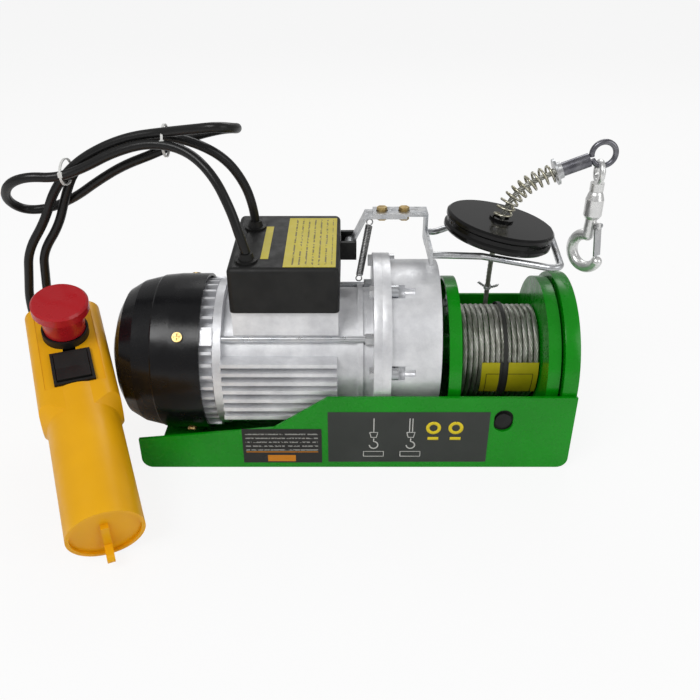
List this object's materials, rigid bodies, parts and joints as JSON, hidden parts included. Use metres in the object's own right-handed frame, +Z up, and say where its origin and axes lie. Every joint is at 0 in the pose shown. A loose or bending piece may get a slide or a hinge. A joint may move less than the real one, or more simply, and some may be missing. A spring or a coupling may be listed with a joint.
{
  "type": "electric wire rope hoist",
  "caption": "Small electric wire rope hoist on a folded steel frame, with geared motor, rope drum, limit lever with weight, hook, and a cabled control handset.",
  "frame": {"origin": "centre of the frame's base rectangle, on the face that the hoist stands on or hangs from", "axes": "+X along the drum's axis from the motor to the rope drum, +Y to the rear, +Z up from the base"},
  "size_m": [0.4488, 0.2418, 0.2466],
  "materials": {
    "green_enamel": "gloss enamel on pressed steel",
    "cast_aluminium": "as-cast, lightly blasted",
    "black_plastic": "gloss moulded",
    "matte_black": "fine texture",
    "yellow_plastic": "satin moulded",
    "red_plastic": "gloss moulded",
    "grey_plastic": "moulded",
    "white_nylon": "moulded",
    "cord_sheath": "smooth sheath",
    "zinc_plate": "zinc plated",
    "bright_steel": "machined",
    "wire_rope": "galvanised strand",
    "spring_steel": "plated wire",
    "oiled_steel": "oiled wire",
    "hook_steel": "bright plated",
    "sintered_bronze": "sintered",
    "weight_black": "gloss paint on cast iron",
    "core_steel": "laminated steel",
    "winding_copper": "varnished copper",
    "card": "printed card"
  },
  "bodies": {
    "hoist": {"frame": "green_enamel", "end_plate": "green_enamel", "drum_bearings": "sintered_bronze", "gearbox_cover": "cast_aluminium", "gear_housing": "cast_aluminium", "layshaft_bushes": "sintered_bronze", "housing_bolts": "zinc_plate", "frame_bolts": "zinc_plate", "motor_housing": "cast_aluminium", "end_bell": "cast_aluminium", "stator_core": "core_steel", "stator_windings": "winding_copper", "motor_bearings": "bright_steel", "through_bolts": "zinc_plate", "fan_cover": "black_plastic", "cover_screws": "zinc_plate", "box_cover": "matte_black", "box_base": "grey_plastic", "capacitor": "white_nylon", "limit_switch": "matte_black", "lever_pivot": "zinc_plate", "return_spring": "oiled_steel", "rope_free_end": "wire_rope", "wire_tie": "zinc_plate", "cup_washer": "zinc_plate", "ferrule": "bright_steel", "buffer_spring": "spring_steel", "pendant_front": "yellow_plastic", "pendant_back": "yellow_plastic", "cord_glands": "matte_black", "pendant_end_cap": "yellow_plastic", "estop_collar": "matte_black", "rocker_bezel": "matte_black", "contact_blocks": "grey_plastic", "cord_long": "cord_sheath", "cord_short": "cord_sheath", "cord_ties": "white_nylon"},
    "drum": {"drum_shaft": "bright_steel", "drum": "green_enamel", "rope_winding": "wire_rope", "rope_clamp": "zinc_plate", "rope_card": "card", "drum_gear": "bright_steel"},
    "layshaft": {"layshaft_gear": "bright_steel", "layshaft_pinion": "bright_steel"},
    "rotor": {"rotor_core": "core_steel", "motor_shaft": "bright_steel", "brake_disc": "core_steel", "fan": "matte_black"},
    "limit_lever": {"lever_arm": "zinc_plate", "lever_bracket": "zinc_plate", "lever_bolts": "sintered_bronze", "rope_loop": "zinc_plate"},
    "weight": {"weight_disc": "weight_black"},
    "hook_link": {"hook_ring": "hook_steel"},
    "hook": {"hook": "hook_steel"},
    "latch": {"hook_latch": "zinc_plate"},
    "estop_plunger": {"estop_plunger": "matte_black"},
    "estop_cap": {"estop_cap": "red_plastic"},
    "rocker": {"rocker": "matte_black"}
  },
  "joints": [
    {"name": "drum_spin", "type": "hinge", "parent": "hoist", "child": "drum", "pos_m": [0, 0, 0.065], "axis": [1, 0, 0], "continuous": true},
    {"name": "layshaft_spin", "type": "hinge", "parent": "hoist", "child": "layshaft", "pos_m": [0, 0, 0.1], "axis": [1, 0, 0], "continuous": true},
    {"name": "rotor_spin", "type": "hinge", "parent": "hoist", "child": "rotor", "pos_m": [0, 0, 0.065], "axis": [1, 0, 0], "continuous": true},
    {"name": "limit_lever", "type": "hinge", "parent": "hoist", "child": "limit_lever", "pos_m": [-0.0038, 0.036, 0.14], "axis": [0, 1, 0], "range_deg": [-2.5, 0], "stiffness_Nm_per_rad": 2, "deforming": ["return_spring"]},
    {"name": "weight_slide", "type": "slide", "parent": "hoist", "child": "weight", "axis": [0, 0, 1], "range_m": [0, 0.008], "deforming": ["buffer_spring"]},
    {"name": "hook_swing", "type": "hinge", "parent": "hoist", "child": "hook_link", "pos_m": [0.17518, 0.012, 0.20739], "axis": [1, 0, 0], "range_deg": [-20, 20]},
    {"name": "hook_swivel", "type": "hinge", "parent": "hook_link", "child": "hook", "pos_m": [0.17518, 0.012, 0.18], "axis": [0, 0, 1], "continuous": true},
    {"name": "latch_hinge", "type": "hinge", "parent": "hook", "child": "latch", "pos_m": [0.17897, 0.00659, 0.16589], "axis": [0.8192, 0.5736, 0], "range_deg": [0, 14], "stiffness_Nm_per_rad": 0.01},
    {"name": "estop_press", "type": "slide", "parent": "hoist", "child": "estop_plunger", "axis": [-0.1159, 0.2779, -0.9536], "range_m": [0, 0.004], "stiffness_N_per_m": 600},
    {"name": "estop_twist", "type": "hinge", "parent": "estop_plunger", "child": "estop_cap", "pos_m": [-0.21514, -0.02674, 0.09447], "axis": [0.1159, -0.2779, 0.9536], "range_deg": [0, 30], "stiffness_Nm_per_rad": 0.05},
    {"name": "rocker_tilt", "type": "hinge", "parent": "hoist", "child": "rocker", "pos_m": [-0.20197, -0.05811, 0.08267], "axis": [-0.9221, -0.3869, -0.0006], "range_deg": [-8, 8], "stiffness_Nm_per_rad": 0.2}
  ],
  "couplings": [
    {"joint": "layshaft_spin", "follows": "drum_spin", "ratio": -4.0909},
    {"joint": "rotor_spin", "follows": "drum_spin", "ratio": 21.942},
    {"joint": "weight_slide", "follows": "limit_lever", "m_per_rad": -0.16}
  ]
}
